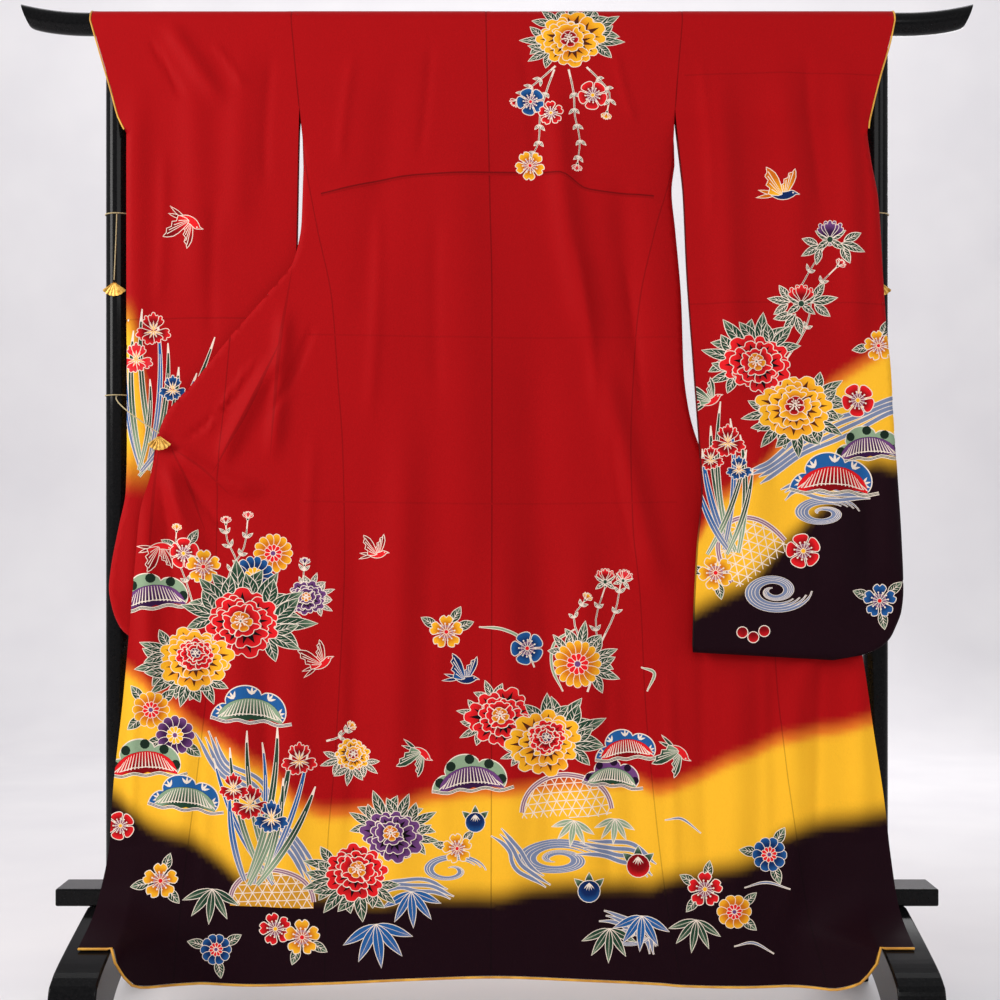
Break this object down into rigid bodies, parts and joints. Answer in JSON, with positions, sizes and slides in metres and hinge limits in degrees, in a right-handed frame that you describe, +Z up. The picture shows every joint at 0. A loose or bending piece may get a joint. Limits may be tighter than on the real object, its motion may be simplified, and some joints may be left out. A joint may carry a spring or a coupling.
{
  "type": "furisode kimono on a kimono stand",
  "caption": "Long-sleeved formal kimono hung with its back to the viewer on a lacquered stand, its bar through both sleeves and the front panels drawn out to the sides.",
  "frame": {"origin": "on the floor, midway between the ends of the stand's bar and feet", "axes": "+X to the viewer's right along the bar, +Y away from the viewer, +Z up"},
  "size_m": [1.61, 0.57, 1.7187],
  "materials": {
    "silk": "matt silk crepe",
    "gold_silk": "soft silk",
    "lacquer": "black lacquer, glossy",
    "brass": "gilded",
    "cord": "twisted cord"
  },
  "bodies": {
    "root": {"body_left": "silk", "body_right": "silk", "okumi_left": "silk", "okumi_right": "silk", "sleeve_left": "silk", "sleeve_right": "silk", "collar": "silk", "hem_roll_left": "gold_silk", "hem_roll_right": "gold_silk", "cuff_roll_left": "gold_silk", "cuff_roll_right": "gold_silk", "bar": "lacquer", "rail": "lacquer", "post_left": "lacquer", "post_right": "lacquer", "foot_left": "lacquer", "foot_right": "lacquer", "fan_left_upper": "brass", "fan_left_lower": "brass", "fan_right_upper": "brass", "fan_right_lower": "brass", "tie_ring_left_upper": "cord", "tie_cord_left_upper": "cord", "tie_ring_left_lower": "cord", "tie_cord_left_lower": "cord", "tie_ring_right_upper": "cord", "tie_cord_right_upper": "cord", "tie_ring_right_lower": "cord", "tie_cord_right_lower": "cord"}
  },
  "joints": []
}
